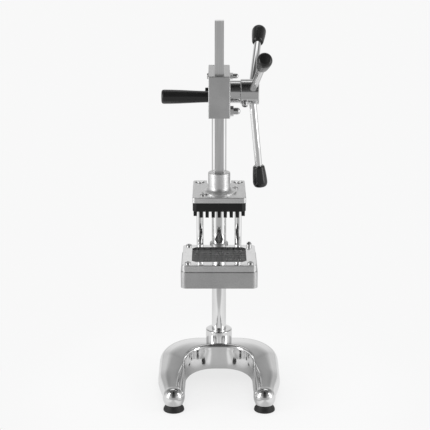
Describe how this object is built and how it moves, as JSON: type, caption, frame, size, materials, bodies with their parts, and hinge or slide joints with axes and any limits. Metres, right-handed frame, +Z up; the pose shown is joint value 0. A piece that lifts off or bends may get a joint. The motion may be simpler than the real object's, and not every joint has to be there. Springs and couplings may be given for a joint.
{
  "type": "french fry cutter",
  "caption": "Vertical hand-cranked rack press on a polished horseshoe base; it pushes a potato through a grid of crossed blades.",
  "frame": {"origin": "on the resting surface, under the middle of the whole machine's outline", "axes": "+Z up along the post and the rack bar, -Y towards the operator and the open side of the base, +X towards the turning handle"},
  "size_m": [0.2114, 0.291, 0.644],
  "materials": {
    "polished_casting": "mirror polished",
    "post_chrome": "polished",
    "cast_alloy": "fine satin",
    "cassette_alloy": "satin",
    "rack_steel": "ground",
    "hub_chrome": "polished",
    "blade_steel": "ground",
    "fastener_steel": "bright zinc",
    "black_steel": "black oxide",
    "bush_brass": "turned",
    "foot_rubber": "moulded",
    "block_plastic": "moulded",
    "grip_plastic": "semi-gloss"
  },
  "bodies": {
    "frame": {"base_casting": "polished_casting", "base_set_screw": "fastener_steel", "blade_cassette": "cassette_alloy", "blades_across": "blade_steel", "blades_along": "blade_steel", "chute_body": "cast_alloy", "chute_set_screw": "fastener_steel", "clamp_plate": "cast_alloy", "clamp_screws": "fastener_steel", "foot_front_left": "foot_rubber", "foot_front_right": "foot_rubber", "foot_rear_left": "foot_rubber", "foot_rear_right": "foot_rubber", "foot_studs": "fastener_steel", "gear_housing": "cast_alloy", "grip_stud": "fastener_steel", "guide_rod_left": "post_chrome", "guide_rod_nuts": "fastener_steel", "guide_rod_right": "post_chrome", "housing_clamp_bolts": "fastener_steel", "housing_clamp_nuts": "fastener_steel", "post": "post_chrome", "rack_gib": "bush_brass", "shaft_bush": "bush_brass", "shaft_sleeve": "hub_chrome", "side_grip": "grip_plastic", "tall_clamp_screw": "fastener_steel", "tension_lock_nut": "fastener_steel", "tension_screw": "fastener_steel"},
    "press": {"rack_bar": "rack_steel", "pusher_carrier": "cast_alloy", "finger_block": "block_plastic", "pusher_screws": "fastener_steel", "rack_set_screw": "fastener_steel", "guide_bush_left": "black_steel", "guide_bush_right": "black_steel"},
    "handle": {"pinion_shaft": "rack_steel", "shaft_cap_screw": "black_steel", "handle_hub": "hub_chrome", "hub_set_screw": "fastener_steel", "handle_arm_1": "hub_chrome", "handle_arm_2": "hub_chrome", "handle_arm_3": "hub_chrome", "knob_1": "grip_plastic", "knob_2": "grip_plastic", "knob_3": "grip_plastic"}
  },
  "joints": [
    {"name": "press_slide", "type": "slide", "parent": "frame", "child": "press", "axis": [0, 0, -1], "range_m": [0, 0.088]},
    {"name": "handle_turn", "type": "hinge", "parent": "frame", "child": "handle", "pos_m": [0, 0.00195, 0.5236], "axis": [1, 0, 0], "range_deg": [0, 373.4]}
  ],
  "couplings": [
    {"joint": "press_slide", "follows": "handle_turn", "m_per_rad": 0.0135}
  ]
}
